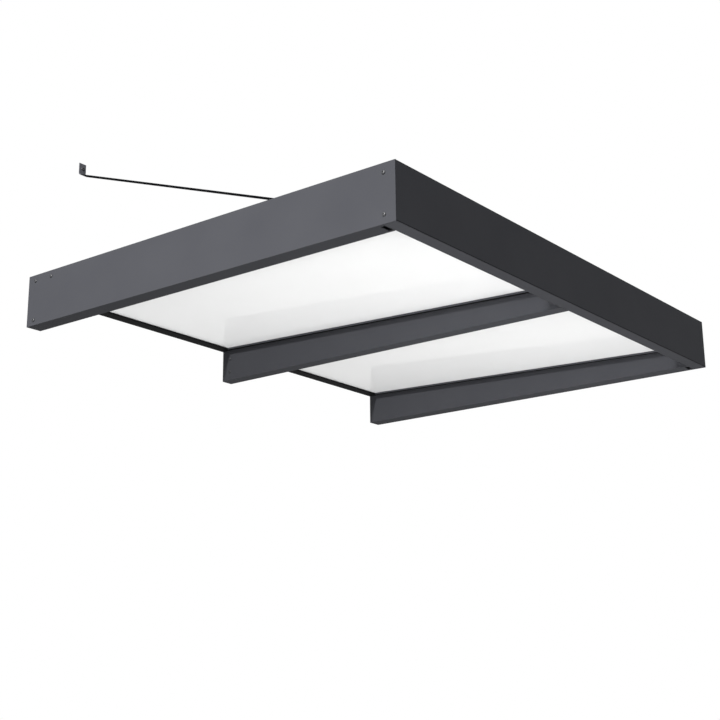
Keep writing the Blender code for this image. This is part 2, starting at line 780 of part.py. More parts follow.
def bend_points(before, corner, after, radius):
    """The centre and the two tangent points of a bend between two straight runs."""
    back = unit(before[0] - corner[0], before[1] - corner[1])
    onward = unit(after[0] - corner[0], after[1] - corner[1])
    half = math.acos(back[0] * onward[0] + back[1] * onward[1]) / 2
    reach = radius / math.tan(half)
    start = (corner[0] + back[0] * reach, corner[1] + back[1] * reach)
    middle = unit(back[0] + onward[0], back[1] + onward[1])
    centre = (corner[0] + middle[0] * radius / math.sin(half), corner[1] + middle[1] * radius / math.sin(half))
    end = (corner[0] + onward[0] * reach, corner[1] + onward[1] * reach)
    return centre, start, end


def unit(x, y):
    size = math.hypot(x, y)
    return (x / size, y / size)


def strip_outline(path, radius, thickness):
    """The outline of a bent strip, from its middle line and the radius of its bends."""
    left = []
    right = []
    last = len(path) - 1
    for i, point in enumerate(path):
        if i in (0, last):
            other = path[1] if i == 0 else path[last - 1]
            along = unit(other[0] - point[0], other[1] - point[1])
            if i == last:
                along = (-along[0], -along[1])
            add_pair(left, right, point, (-along[1], along[0]), thickness)
            continue
        centre, start, end = bend_points(path[i - 1], point, path[i + 1], radius)
        from_angle = math.atan2(start[1] - centre[1], start[0] - centre[0])
        turn = math.atan2(end[1] - centre[1], end[0] - centre[0]) - from_angle
        turn = (turn + math.pi) % (2 * math.pi) - math.pi
        for step in range(BEND_STEPS + 1):
            angle = from_angle + turn * step / BEND_STEPS
            spoke = (math.cos(angle), math.sin(angle))
            place = (centre[0] + radius * spoke[0], centre[1] + radius * spoke[1])
            outward = spoke if turn < 0 else (-spoke[0], -spoke[1])
            add_pair(left, right, place, outward, thickness)
    return left + right[::-1]


def add_pair(left, right, place, outward, thickness):
    """Adds the points on both faces of a strip."""
    half = thickness / 2
    left.append((place[0] + outward[0] * half, place[1] + outward[1] * half))
    right.append((place[0] - outward[0] * half, place[1] - outward[1] * half))


def stay(label, side):
    """A flat bar from a plate on the wall to a plate on the front beam, with its two screws."""
    front_y, front_z = stay_front_corner()
    wall_y = -STAY_THICKNESS / 2
    path = [(wall_y, STAY_RISE + STAY_PLATE), (wall_y, STAY_RISE)]
    path += [(front_y, front_z), (front_y, front_z + STAY_FRONT_PLATE)]
    radius = max(STAY_BEND_RADIUS, STAY_THICKNESS)
    outline = strip_outline(path, radius, STAY_THICKNESS)
    mesh = outline_mesh(label + "_stay", [outline], STAY_WIDTH)
    x = stay_x(side)
    bar = add_object(label + "_stay", mesh, (x, 0.0, 0.0), (math.pi / 2, 0.0, math.pi / 2))
    set_material(bar, STAY_COAT)
    hole = SCREW_SHANK + 2 * FIT
    wall_place = (x, wall_y, STAY_RISE + STAY_WALL_SCREW_UP)
    drill(bar, label + "_stay_wall_hole", wall_place, "Y", hole, STAY_THICKNESS * 3)
    front_place = (x, front_y, stay_front_screw_height())
    drill(bar, label + "_stay_front_hole", front_place, "Y", hole, STAY_THICKNESS * 3)
    stay_screws(label, side)


def stay_screws(label, side):
    """The screw in the wall plate, cut off at the wall's plane, and the one into the front beam."""
    x = stay_x(side)
    wall = screw_mesh("stay_wall", SCREW_HEAD, SCREW_HEAD_HEIGHT, SCREW_SHANK, STAY_THICKNESS + FIT)
    place = (x, -STAY_THICKNESS - FIT, STAY_RISE + STAY_WALL_SCREW_UP)
    add_object(label + "_stay_wall_screw", wall, place, HEAD_TOWARD["-Y"])
    length = STAY_THICKNESS + 2 * FIT + BEAM_WALL + SCREW_THROUGH
    front = screw_mesh("stay_front", SCREW_HEAD, SCREW_HEAD_HEIGHT, SCREW_SHANK, length)
    place = (x, INNER_FRONT + FIT + STAY_THICKNESS + FIT, stay_front_screw_height())
    add_object(label + "_stay_front_screw", front, place, HEAD_TOWARD["+Y"])


# The canopy
def build_frame():
    for label, side in SIDES:
        side_beam(label, side)
        side_screws(label, side)
        side_bracket(label, side)
        wall_profile(label, side)
    middle_beam()
    middle_screws()
    middle_brackets()
    front_beam()
    bracket_bolts()


def build_roof():
    for label, side in SIDES:
        roof_sheet(label, side)
        side_ledge(label + "_beam_ledge", beam_inner(side), -side)
        side_ledge(f"middle_beam_ledge_{label}", side * MIDDLE_BEAM_WIDTH / 2, side)
        front_ledge(f"front_beam_ledge_{label}", side)
        side_seal(label + "_beam_seal", beam_inner(side), -side)
        side_seal(f"middle_beam_seal_{label}", side * MIDDLE_BEAM_WIDTH / 2, side)


def build_stays():
    for label, side in SIDES:
        stay(label, side)


build_frame()
build_roof()
build_stays()
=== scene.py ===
# %% [markdown]
# # A door canopy, dressed for its picture
#
# The solids come in as a frame: every beam, sheet, ledge, screw and stay already has its place and
# size in metres. The canopy's back lies in the plane Y = 0 and it reaches out along -Y. The camera
# looks up at it from the front left. What is left to do here is what an eye sees and a drawing
# doesn't: the grain of the coating, the depth of the opal sheets, rounded edges and real screw heads.

# %% Load the solids
import math

import bmesh
import bpy
from mathutils import Matrix, Vector


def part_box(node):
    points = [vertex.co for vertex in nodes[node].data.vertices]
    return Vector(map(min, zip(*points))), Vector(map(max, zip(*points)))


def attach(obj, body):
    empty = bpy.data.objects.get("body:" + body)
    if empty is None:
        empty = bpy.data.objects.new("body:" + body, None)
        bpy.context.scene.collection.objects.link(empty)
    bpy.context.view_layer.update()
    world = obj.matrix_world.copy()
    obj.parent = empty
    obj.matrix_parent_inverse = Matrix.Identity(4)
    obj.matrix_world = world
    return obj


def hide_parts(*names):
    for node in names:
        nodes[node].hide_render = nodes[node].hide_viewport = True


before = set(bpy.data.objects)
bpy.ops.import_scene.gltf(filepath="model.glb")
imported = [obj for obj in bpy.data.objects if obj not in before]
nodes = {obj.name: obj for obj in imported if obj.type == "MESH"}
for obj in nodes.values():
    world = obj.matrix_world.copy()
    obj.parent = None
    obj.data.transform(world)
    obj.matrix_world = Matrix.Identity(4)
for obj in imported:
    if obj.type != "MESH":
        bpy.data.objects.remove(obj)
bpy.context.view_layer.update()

# %% [markdown]
# ## The camera
#
# A camera can be placed by eye, or worked out from edges whose real directions are known. A canopy
# is full of straight lines along X, Y and Z, so its camera can be worked out. The lines meet as they
# would in a part cut from a wider picture: the optical middle lies a little left of and above the
# frame's middle, and a small lens shift stands for that.

# %% Camera
IMAGE = 720
SENSOR_WIDTH = 36.0
SIGHT_END = 200.0
FOCAL_PX = 1336.4
OPTICAL_MIDDLE = (330.0, 345.0)
CAMERA_PLACE = Vector((-2.8150, -2.6807, -1.0636))
CAMERA_YAW = 50.95
CAMERA_PITCH = 16.018
CAMERA_ROLL = 0.191


def photo_camera():
    lens = bpy.data.cameras.new("photo_camera")
    lens.sensor_fit = "HORIZONTAL"
    lens.sensor_width = SENSOR_WIDTH
    lens.lens = FOCAL_PX / IMAGE * SENSOR_WIDTH
    lens.shift_x = (IMAGE / 2 - OPTICAL_MIDDLE[0]) / IMAGE
    lens.shift_y = (OPTICAL_MIDDLE[1] - IMAGE / 2) / IMAGE
    lens.clip_end = SIGHT_END
    holder = bpy.data.objects.new("photo_camera", lens)
    bpy.context.scene.collection.objects.link(holder)
    yaw = math.radians(CAMERA_YAW)
    pitch = math.radians(CAMERA_PITCH)
    ahead = Vector((math.sin(yaw) * math.cos(pitch), math.cos(yaw) * math.cos(pitch), math.sin(pitch)))
    right = ahead.cross(Vector((0.0, 0.0, 1.0))).normalized()
    up = right.cross(ahead)
    roll = math.radians(CAMERA_ROLL)
    level_right = right * math.cos(roll) - up * math.sin(roll)
    level_up = right * math.sin(roll) + up * math.cos(roll)
    turned = Matrix((level_right, level_up, -ahead)).transposed().to_4x4()
    holder.matrix_world = Matrix.Translation(CAMERA_PLACE) @ turned
    bpy.context.scene.camera = holder
    return holder


camera = photo_camera()
shift = (round(camera.data.shift_x, 4), round(camera.data.shift_y, 4))
print("lens:", round(camera.data.lens, 2), "mm, shift:", *shift)

# %% [markdown]
# ## Building a material
#
# Every finish below starts from the same few parts: a point on the object in metres, noise at a
# size that the real surface has, a colour that wanders a little with it, a roughness that wanders
# too, and a bump. Object coordinates are used because every piece sits at the origin, so a grain
# of one millimetre is one millimetre on each of them. Noise runs from 0 to 1 but mostly stays near
# its middle, so the stretch from 0.3 to 0.7 is the one that is spread over colours and roughness.

# %% Material helpers
NOISE_LOW = 0.3
NOISE_HIGH = 0.7


class Finish:
    """A Principled material and short calls that add the parts of a procedural surface to it."""

    def __init__(self, name, roughness, metallic=0.0):
        self.material = bpy.data.materials.new(name)
        self.material.use_nodes = True
        self.tree = self.material.node_tree
        self.shader = self.tree.nodes["Principled BSDF"]
        self.shader.inputs["Roughness"].default_value = roughness
        self.shader.inputs["Metallic"].default_value = metallic
        self.place = self.tree.nodes.new("ShaderNodeTexCoord").outputs["Object"]

    def link(self, source, target):
        self.tree.links.new(source, target)

    def stretched(self, scale):
        """The same coordinates, stretched, for a grain that runs one way."""
        step = self.tree.nodes.new("ShaderNodeMapping")
        step.inputs["Scale"].default_value = scale
        self.link(self.place, step.inputs["Vector"])
        return step.outputs["Vector"]

    def noise(self, scale, detail, place=None):
        step = self.tree.nodes.new("ShaderNodeTexNoise")
        step.inputs["Scale"].default_value = scale
        step.inputs["Detail"].default_value = detail
        self.link(place or self.place, step.inputs["Vector"])
        return step.outputs["Fac"]

    def spots(self, scale):
        step = self.tree.nodes.new("ShaderNodeTexVoronoi")
        step.inputs["Scale"].default_value = scale
        self.link(self.place, step.inputs["Vector"])
        return step.outputs["Distance"]

    def spread(self, value, low, high, out_low, out_high):
        """Maps a stretch of one value onto another."""
        step = self.tree.nodes.new("ShaderNodeMapRange")
        step.inputs["From Min"].default_value = low
        step.inputs["From Max"].default_value = high
        step.inputs["To Min"].default_value = out_low
        step.inputs["To Max"].default_value = out_high
        self.link(value, step.inputs["Value"])
        return step.outputs["Result"]

    def drift(self, noise, out_low=0.0, out_high=1.0):
        """Maps the stretch where noise mostly stays onto another."""
        return self.spread(noise, NOISE_LOW, NOISE_HIGH, out_low, out_high)

    def part_of_place(self, axis):
        """One coordinate of the place on the object, in metres."""
        step = self.tree.nodes.new("ShaderNodeSeparateXYZ")
        self.link(self.place, step.inputs["Vector"])
        return step.outputs[axis]

    def between(self, value, first, second):
        """A colour between two, by a value from 0 to 1. Each is a plain colour or comes from a step."""
        step = self.tree.nodes.new("ShaderNodeMix")
        step.data_type = "RGBA"
        colour_inputs = [socket for socket in step.inputs if socket.type == "RGBA"]
        for socket, side in zip(colour_inputs, (first, second)):
            if isinstance(side, tuple):
                socket.default_value = (*side, 1.0)
            else:
                self.link(side, socket)
        self.link(value, step.inputs["Factor"])
        return next(socket for socket in step.outputs if socket.type == "RGBA")

    def colour(self, value):
        self.link(value, self.shader.inputs["Base Color"])

    def rough(self, value):
        self.link(value, self.shader.inputs["Roughness"])

    def bump(self, value, height, strength, under=None):
        """Raises the surface by the value, in metres."""
        step = self.tree.nodes.new("ShaderNodeBump")
        step.inputs["Strength"].default_value = strength
        step.inputs["Distance"].default_value = height
        self.link(value, step.inputs["Height"])
        if under is not None:
            self.link(under, step.inputs["Normal"])
        self.link(step.outputs["Normal"], self.shader.inputs["Normal"])
        return step.outputs["Normal"]

    def set(self, name, value):
        self.shader.inputs[name].default_value = value


print("calls of a finish:", ", ".join(name for name in vars(Finish) if not name.startswith("_")))

# %% [markdown]
# ## The coatings
#
# The frame is aluminium with a satin powder coat. Baked powder never flows out quite flat: it keeps
# an orange peel of about two millimetres and a finer grain on top. A flat colour with a low gloss
# would look like card, so both sizes go into the bump, the roughness follows the peel, and the
# colour drifts slowly along the beams. The wall profiles have the same coat in black, and the same
# black is painted shade in the hidden insides of the ledges and in the front groove. The screw heads
# are smoother and darker than the frame, and show a small highlight.

# %% Powder coats
PEEL_SCALE = 420.0
PEEL_HEIGHT = 0.00010
PEEL_STRENGTH = 0.35
GRAIN_SCALE = 1500.0
GRAIN_HEIGHT = 0.00003
GRAIN_STRENGTH = 0.30
COAT_CLOUD_SCALE = 7.0
SPECKS_FROM = 0.55
SPECKS_TO = 0.80
SPECK_LIGHTER = 1.18
SPECK_SHARE = 0.5


def powder_skin(finish, smoothest, roughest):
    """The orange peel and the grain of baked powder. Hands back the grain for the colour."""
    grain = finish.noise(GRAIN_SCALE, 2.0)
    peel = finish.noise(PEEL_SCALE, 1.5)
    finish.rough(finish.drift(peel, smoothest, roughest))
    coarse = finish.bump(peel, PEEL_HEIGHT, PEEL_STRENGTH)
    finish.bump(grain, GRAIN_HEIGHT, GRAIN_STRENGTH, under=coarse)
    return grain


def powder_coat(name, dark, light, roughness, gloss):
    finish = Finish(name, roughness)
    grain = powder_skin(finish, roughness - 0.03, roughness + 0.04)
    cloud = finish.drift(finish.noise(COAT_CLOUD_SCALE, 3.0))
    ground = finish.between(cloud, dark, light)
    speck = tuple(c * SPECK_LIGHTER for c in light)
    specks = finish.spread(grain, SPECKS_FROM, SPECKS_TO, 0.0, SPECK_SHARE)
    finish.colour(finish.between(specks, ground, speck))
    finish.set("Specular IOR Level", gloss)
    return finish.material


COAT = powder_coat("anthracite_powder_coat", (0.0455, 0.0465, 0.0525), (0.0495, 0.0505, 0.0565), 0.60, 0.03)
# Black is the wall profiles' own colour; on the groove and the ledges' insides it is painted shade.
BLACK_COAT_AND_PAINTED_SHADE = powder_coat("black_coat_and_painted_shade", (0.0065, 0.0065, 0.0070), (0.0085, 0.0085, 0.0092), 0.62, 0.04)
# The screw heads get a darker and glossier coat than the frame.
SCREW_COAT = powder_coat("screw_coat", (0.025, 0.0255, 0.028), (0.032, 0.0325, 0.036), 0.37, 0.44)
print("coats:", COAT.name, BLACK_COAT_AND_PAINTED_SHADE.name, SCREW_COAT.name)

# %% [markdown]
# ## Painted light and shade on the stays
#
# In the picture the stay's upturned plate is as light as the frame, while the bar that runs down from
# it is nearly black. That is painted light and shade on one coat: painted shade on the bar, painted
# light on the plate. Both are one strip of steel and one piece here, and the change lies in the bend:
# the material looks at how far out along Y a point lies and turns from one tone into the other there.

# %% Stay coat with painted light and shade
BEND_OUTER = -0.011
BEND_INNER = -0.005
STAY_CLOUD_SCALE = 9.0


def stay_coat_with_painted_light():
    finish = Finish("stay_coat_painted_light", 0.62)
    powder_skin(finish, 0.58, 0.66)
    cloud = finish.drift(finish.noise(STAY_CLOUD_SCALE, 3.0))
    # Painted shade: the bar's near-black stands for the shade under the bar.
    black = finish.between(cloud, (0.0105, 0.0110, 0.0125), (0.0145, 0.0150, 0.0170))
    # Painted light: the plate's grey stands for the light falling on the plate.
    grey = finish.between(cloud, (0.108, 0.110, 0.124), (0.123, 0.125, 0.140))
    on_plate = finish.spread(finish.part_of_place("Y"), BEND_OUTER, BEND_INNER, 0.0, 1.0)
    finish.colour(finish.between(on_plate, black, grey))
    finish.set("Specular IOR Level", 0.0)
    return finish.material


STAY_COAT_PAINTED_LIGHT = stay_coat_with_painted_light()
print("stays:", STAY_COAT_PAINTED_LIGHT.name)

# %% [markdown]
# ## The opal sheets
#
# Opal acrylic is white because it is full of fine particles: light goes in, scatters and comes out
# on the other side, while the skin stays glossy. A plain white surface would stay grey from below
# when the sun is above. Subsurface scattering with a reach of several times the sheet's thickness
# lets that light through. The skin is smooth enough to show a faint mirror image of the beams, and a
# very gentle bump keeps that image from being perfect.

# %% Opal acrylic
ACRYLIC_IOR = 1.49
LIGHT_REACH = 0.035
WAVE_SCALE = 3.0
WAVE_HEIGHT = 0.0002
FILM_SCALE = 26.0


def opal_acrylic():
    finish = Finish("opal_acrylic", 0.03)
    cloud = finish.noise(WAVE_SCALE, 2.0)
    finish.colour(finish.between(cloud, (0.751, 0.755, 0.758), (0.778, 0.782, 0.785)))
    film = finish.noise(FILM_SCALE, 3.0)
    finish.rough(finish.spread(film, 0.35, 0.7, 0.015, 0.035))
    waves = finish.noise(WAVE_SCALE, 1.0)
    finish.bump(waves, WAVE_HEIGHT, 0.15)
    finish.set("Specular IOR Level", 0.12)
    finish.set("IOR", ACRYLIC_IOR)
    finish.set("Subsurface Weight", 1.0)
    finish.set("Subsurface Radius", (1.0, 1.0, 1.0))
    finish.set("Subsurface Scale", LIGHT_REACH)
    return finish.material


OPAL = opal_acrylic()
print("sheet:", OPAL.name)

# %% [markdown]
# ## Bare metals and rubber
#
# The brackets inside the beams are mill-finish aluminium: rolled or pressed, with fine lines along
# their height. The bolts through them and the screws in the joint stay bare stainless: brighter,
# turned and lightly polished. The seals are black rubber with a bloom of fine dust in its pores.

# %% Metals and rubber
MILL_LINE_SCALE = 900.0
MILL_LINE_HEIGHT = 0.00004
ALONG_HEIGHT = (1.0, 1.0, 0.02)
TURNING_SCALE = 2600.0
TURNING_HEIGHT = 0.00001
PORE_SCALE = 1800.0
PORE_DEPTH = 0.00005
DUST_SCALE = 60.0


def mill_aluminium():
    finish = Finish("mill_aluminium", 0.36, metallic=1.0)
    lines = finish.noise(MILL_LINE_SCALE, 3.0, place=finish.stretched(ALONG_HEIGHT))
    cloud = finish.noise(18.0, 3.0)
    finish.colour(finish.between(cloud, (0.56, 0.57, 0.58), (0.68, 0.69, 0.70)))
    finish.rough(finish.drift(lines, 0.28, 0.46))
    finish.bump(lines, MILL_LINE_HEIGHT, 0.5)
    return finish.material


def stainless():
    finish = Finish("stainless", 0.26, metallic=1.0)
    fine = finish.noise(TURNING_SCALE, 2.0)
    cloud = finish.noise(240.0, 2.0)
    finish.colour(finish.between(cloud, (0.56, 0.56, 0.55), (0.66, 0.66, 0.65)))
    finish.rough(finish.drift(fine, 0.20, 0.32))
    finish.bump(fine, TURNING_HEIGHT, 0.4)
    return finish.material


def seal_rubber():
    finish = Finish("seal_rubber", 0.75)
    pores = finish.spots(PORE_SCALE)
    dust = finish.noise(DUST_SCALE, 4.0)
    dusty = finish.spread(dust, 0.45, 0.8, 0.0, 1.0)
    finish.colour(finish.between(dusty, (0.011, 0.011, 0.011), (0.030, 0.029, 0.027)))
    finish.rough(finish.drift(dust, 0.66, 0.84))
    finish.bump(pores, PORE_DEPTH, 0.4)
    return finish.material


ALUMINIUM = mill_aluminium()
STAINLESS = stainless()
RUBBER = seal_rubber()
print("others:", ALUMINIUM.name, STAINLESS.name, RUBBER.name)

# %% [markdown]
# ## Softening the edges
#
# A solid straight from a drawing has edges of no width, and nothing real does: a sawn and coated
# bar has a rounding of a few tenths of a millimetre that catches a thin line of light. The rounding
# could be painted with a bevel shader, but real geometry also holds when the model is exported. So
# each piece is copied, its loose triangles are merged back into whole faces, and Bevel rounds what
# is left. Weighted normals keep the large faces flat.

# %% Copy a solid with softened edges
MERGE_DISTANCE = 0.000002
FLAT_ANGLE = math.radians(0.5)
EDGE_ANGLE = math.radians(32)
BEAM_EDGE_ANGLE = math.radians(50)


def merged_copy(node, name):
    """A copy of a solid's mesh with its triangles joined back into whole faces."""
    work = bmesh.new()
    work.from_mesh(nodes[node].data)
    bmesh.ops.remove_doubles(work, verts=work.verts, dist=MERGE_DISTANCE)
    bmesh.ops.dissolve_limit(work, angle_limit=FLAT_ANGLE, verts=work.verts, edges=work.edges)
    mesh = bpy.data.meshes.new(name)
    work.to_mesh(mesh)
    work.free()
    piece = bpy.data.objects.new(name, mesh)
    bpy.context.scene.collection.objects.link(piece)
    return piece


def settle(piece):
    """Turns what the modifiers make into the piece's own plain mesh."""
    bpy.context.view_layer.update()
    seen = piece.evaluated_get(bpy.context.evaluated_depsgraph_get())
    mesh = bpy.data.meshes.new_from_object(seen)
    piece.modifiers.clear()
    old = piece.data
    piece.data = mesh
    bpy.data.meshes.remove(old)


def soften(node, material, width, steps=2, sharp=EDGE_ANGLE):
    """Replaces a solid by a dressed copy with rounded edges. A width of 0 leaves them as they are."""
    piece = merged_copy(node, node + "_dressed")
    piece.data.materials.append(material)
    piece.data.shade_smooth()
    piece.data.set_sharp_from_angle(angle=sharp)
    if width:
        bevel = piece.modifiers.new("soft_edges", "BEVEL")
        bevel.width = width
        bevel.segments = steps
        bevel.limit_method = "ANGLE"
        bevel.angle_limit = sharp
    even = piece.modifiers.new("flat_faces", "WEIGHTED_NORMAL")
    even.keep_sharp = not width
    settle(piece)
    piece.data.name = piece.name
    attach(piece, "root")
    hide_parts(node)
    return piece


print("corners closer than", MERGE_DISTANCE * 1e6, "micrometres become one")

# %% [markdown]
# ## The frame
#
# The four beams keep their solids' shape, with the millimetre rounding that the extrusion has. The
# rounding is already in the solids, so only smooth shading and flat faces are added there; the cut
# ends and the holes stay crisp.

# %% Beams
for node in ("left_beam", "right_beam", "middle_beam", "front_beam"):
    beam = soften(node, COAT, width=0.0, sharp=BEAM_EDGE_ANGLE)
    print(beam.name, "faces:", len(beam.data.polygons))

# %% [markdown]
# A fine groove runs along the front beam's lower edge. From a few metres away only its shadow is
# seen, a dark line, so that shadow is painted: the groove's inside is painted black. Those are the
# faces that lie a little behind the beam's front and just above its underside.

# %% The front groove and its painted shadow
GROOVE_BEHIND_FRONT = (0.0002, 0.0012)
GROOVE_ABOVE_BOTTOM = (0.0012, 0.0030)


def inside(value, limits):
    return limits[0] < value < limits[1]


low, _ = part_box("front_beam")
front = bpy.data.objects["front_beam_dressed"].data
front.materials.append(BLACK_COAT_AND_PAINTED_SHADE)
groove_faces_painted_dark = 0
for face in front.polygons:
    from_corner = face.center - low
    if inside(from_corner.y, GROOVE_BEHIND_FRONT) and inside(from_corner.z, GROOVE_ABOVE_BOTTOM):
        # Painted shadow: the groove's inner faces are coloured black.
        face.material_index = 1
        groove_faces_painted_dark += 1
print("groove faces:", groove_faces_painted_dark)

# %% [markdown]
# ## Ledges and wall profiles
#
# The ledges under the sheets are small channels that open downward, in the colour of the frame. Light
# hardly gets into a channel this narrow, so its inside lies in deep shade, and that shade is painted:
# those faces are coloured black. The wall profiles are black all over.

# %% Ledges and wall profiles
LEDGE_ROUNDING = 0.0002
LEDGE_SIDE = 0.001
FACES_UP = 0.5
PROFILE_ROUNDING = 0.00025


def paint_shade_inside(piece, node, across):
    """Paints the shade on a ledge's inner faces in black, found by where they lie across its width."""
    low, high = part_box(node)
    piece.data.materials.append(BLACK_COAT_AND_PAINTED_SHADE)
    between_sides = (low[across] + LEDGE_SIDE, high[across] - LEDGE_SIDE)
    for face in piece.data.polygons:
        # Painted shade: the faces inside the channel are coloured black.
        if inside(face.center[across], between_sides) and face.normal.z < FACES_UP:
            face.material_index = 1
    return sum(face.material_index for face in piece.data.polygons)


for node in sorted(name for name in nodes if "ledge" in name):
    ledge = soften(node, COAT, width=LEDGE_ROUNDING)
    across = 1 if node.startswith("front") else 0
    print(ledge.name, "inner faces:", paint_shade_inside(ledge, node, across))
for node in ("left_wall_profile", "right_wall_profile"):
    soften(node, BLACK_COAT_AND_PAINTED_SHADE, width=PROFILE_ROUNDING)

# %% [markdown]
# ## Sheets and seals
#
# The sheets are cut from acrylic board, and their edges are polished to a small rounding. The seals
# press on them along the beams.

# %% Sheets and seals
SHEET_ROUNDING = 0.0006
SEAL_ROUNDING = 0.0004
SHEETS = ("left_roof_sheet", "right_roof_sheet")
for node in SHEETS:
    soften(node, OPAL, width=SHEET_ROUNDING, steps=3)
SEALS = sorted(name for name in nodes if "seal" in name)
for node in SEALS:
    soften(node, RUBBER, width=SEAL_ROUNDING)
print("sheets:", len(SHEETS), "seals:", len(SEALS))

# %% [markdown]
# ## Brackets
#
# Three brackets sit in the rear ends of the side beams and the middle beam, where they are seen
# only from behind, through the open ends. A fourth is hidden in the middle beam's front end. All
# keep their bare metal and get the small rounding of a sheared edge.

# %% Brackets
BRACKET_ROUNDING = 0.0003
BRACKETS = sorted(name for name in nodes if name.endswith("bracket"))
for node in BRACKETS:
    soften(node, ALUMINIUM, width=BRACKET_ROUNDING)
print("brackets:", BRACKETS)

# %% [markdown]
# ## Stays
#
# A stay is one length of flat bar with both ends bent up. The bends are in the solid already, so the
# long edges only get the rounding of a rolled bar. Smooth shading alone would round the flat faces
# too, which is why weighted normals are used here as on the other pieces.

# %% Stays
STAY_ROUNDING = 0.0004
for node in ("left_stay", "right_stay"):
    stay = soften(node, STAY_COAT_PAINTED_LIGHT, width=STAY_ROUNDING)
    print(stay.name, "faces:", len(stay.data.polygons))

# %% [markdown]
# ## Screws
#
# Thirty screws and bolts with three sizes of head are the same thing over and over: a low dome with
# a hexagon socket, a thin rim and a shank. Modelling each by hand would be dull, and copies would
# all have to change when one does. A Geometry Nodes tree makes one screw from named sizes and sets
# it on every point, turned to the direction that the point carries.
#
# The dome is a flattened ball whose lower half is cut off by a block. The socket's cutter is a
# hexagon as high as the head, with its middle a little above the head's top, so it cuts about
# halfway down.

# %% The screw tree
SIZES = ("Head Radius", "Head Height", "Rim Height", "Socket Radius", "Shank Radius", "Shank Length")
HEAD_SIDES = 32
BALL_RINGS = 20
SHANK_SIDES = 24
SOCKET_SIDES = 6
SOCKET_MIDDLE = 1.05
BLOCK_SIZE = 0.1
BLOCK_GAP = 0.00002


def add_node(tree, kind, **settings):
    made = tree.nodes.new(kind)
    for key, value in settings.items():
        setattr(made, key, value)
    return made


def screw_tree():
    tree = bpy.data.node_groups.new("domed_screws", "GeometryNodeTree")
    tree.interface.new_socket("Geometry", in_out="INPUT", socket_type="NodeSocketGeometry")
    for name in SIZES:
        tree.interface.new_socket(name, in_out="INPUT", socket_type="NodeSocketFloat")
    tree.interface.new_socket("Material", in_out="INPUT", socket_type="NodeSocketMaterial")
    tree.interface.new_socket("Geometry", in_out="OUTPUT", socket_type="NodeSocketGeometry")
    start = add_node(tree, "NodeGroupInput").outputs
    link = tree.links.new

    def maths(operation, *values):
        step = add_node(tree, "ShaderNodeMath", operation=operation)
        for socket, value in zip(step.inputs, values):
            if isinstance(value, float):
                socket.default_value = value
            else:
                link(value, socket)
        return step.outputs[0]

    def cylinder(sides, radius, depth):
        step = add_node(tree, "GeometryNodeMeshCylinder")
        step.inputs["Vertices"].default_value = sides
        link(start[radius], step.inputs["Radius"])
        link(start[depth], step.inputs["Depth"])
        return step.outputs["Mesh"]

    def at_height(mesh, height, scale=None):
        shift = add_node(tree, "ShaderNodeCombineXYZ")
        link(height, shift.inputs["Z"])
        move = add_node(tree, "GeometryNodeTransform")
        link(mesh, move.inputs["Geometry"])
        link(shift.outputs[0], move.inputs["Translation"])
        if scale is not None:
            flat = add_node(tree, "ShaderNodeCombineXYZ")
            flat.inputs["X"].default_value = 1.0
            flat.inputs["Y"].default_value = 1.0
            link(scale, flat.inputs["Z"])
            link(flat.outputs[0], move.inputs["Scale"])
        return move.outputs["Geometry"]

    def minus(mesh, cutter):
        step = add_node(tree, "GeometryNodeMeshBoolean", operation="DIFFERENCE", solver="EXACT")
        link(mesh, step.inputs["Mesh 1"])
        link(cutter, step.inputs["Mesh 2"])
        return step.outputs["Mesh"]

    ball = add_node(tree, "GeometryNodeMeshUVSphere")
    ball.inputs["Segments"].default_value = HEAD_SIDES
    ball.inputs["Rings"].default_value = BALL_RINGS
    link(start["Head Radius"], ball.inputs["Radius"])
    dome_height = maths("SUBTRACT", start["Head Height"], start["Rim Height"])
    flatten = maths("DIVIDE", dome_height, start["Head Radius"])
    dome = at_height(ball.outputs["Mesh"], start["Rim Height"], flatten)

    block = add_node(tree, "GeometryNodeMeshCube")
    block.inputs["Size"].default_value = (BLOCK_SIZE, BLOCK_SIZE, BLOCK_SIZE)
    sunk = maths("ADD", start["Rim Height"], -(BLOCK_SIZE / 2 + BLOCK_GAP))
    dome = minus(dome, at_height(block.outputs["Mesh"], sunk))

    rim = cylinder(HEAD_SIDES, "Head Radius", "Rim Height")
    rim = at_height(rim, maths("MULTIPLY", start["Rim Height"], 0.5))

    socket = cylinder(SOCKET_SIDES, "Socket Radius", "Head Height")
    socket = at_height(socket, maths("MULTIPLY", start["Head Height"], SOCKET_MIDDLE))
    dome = minus(dome, socket)

    shank = cylinder(SHANK_SIDES, "Shank Radius", "Shank Length")
    shank = at_height(shank, maths("MULTIPLY", start["Shank Length"], -0.5))

    whole = add_node(tree, "GeometryNodeJoinGeometry")
    for mesh in (dome, rim, shank):
        link(mesh, whole.inputs["Geometry"])

    outward = add_node(tree, "GeometryNodeInputNamedAttribute", data_type="FLOAT_VECTOR")
    outward.inputs["Name"].default_value = "outward"
    aim = add_node(tree, "FunctionNodeAlignRotationToVector", axis="Z")
    link(outward.outputs["Attribute"], aim.inputs["Vector"])
    spread = add_node(tree, "GeometryNodeInstanceOnPoints")
    link(start["Geometry"], spread.inputs["Points"])
    link(whole.outputs["Geometry"], spread.inputs["Instance"])
    link(aim.outputs["Rotation"], spread.inputs["Rotation"])
    real = add_node(tree, "GeometryNodeRealizeInstances")
    link(spread.outputs["Instances"], real.inputs["Geometry"])
    dress = add_node(tree, "GeometryNodeSetMaterial")
    link(real.outputs["Geometry"], dress.inputs["Geometry"])
    link(start["Material"], dress.inputs["Material"])
    finish = add_node(tree, "NodeGroupOutput")
    link(dress.outputs["Geometry"], finish.inputs[0])
    return tree


SCREW_TREE = screw_tree()
print("screw tree:", len(SCREW_TREE.nodes), "steps")

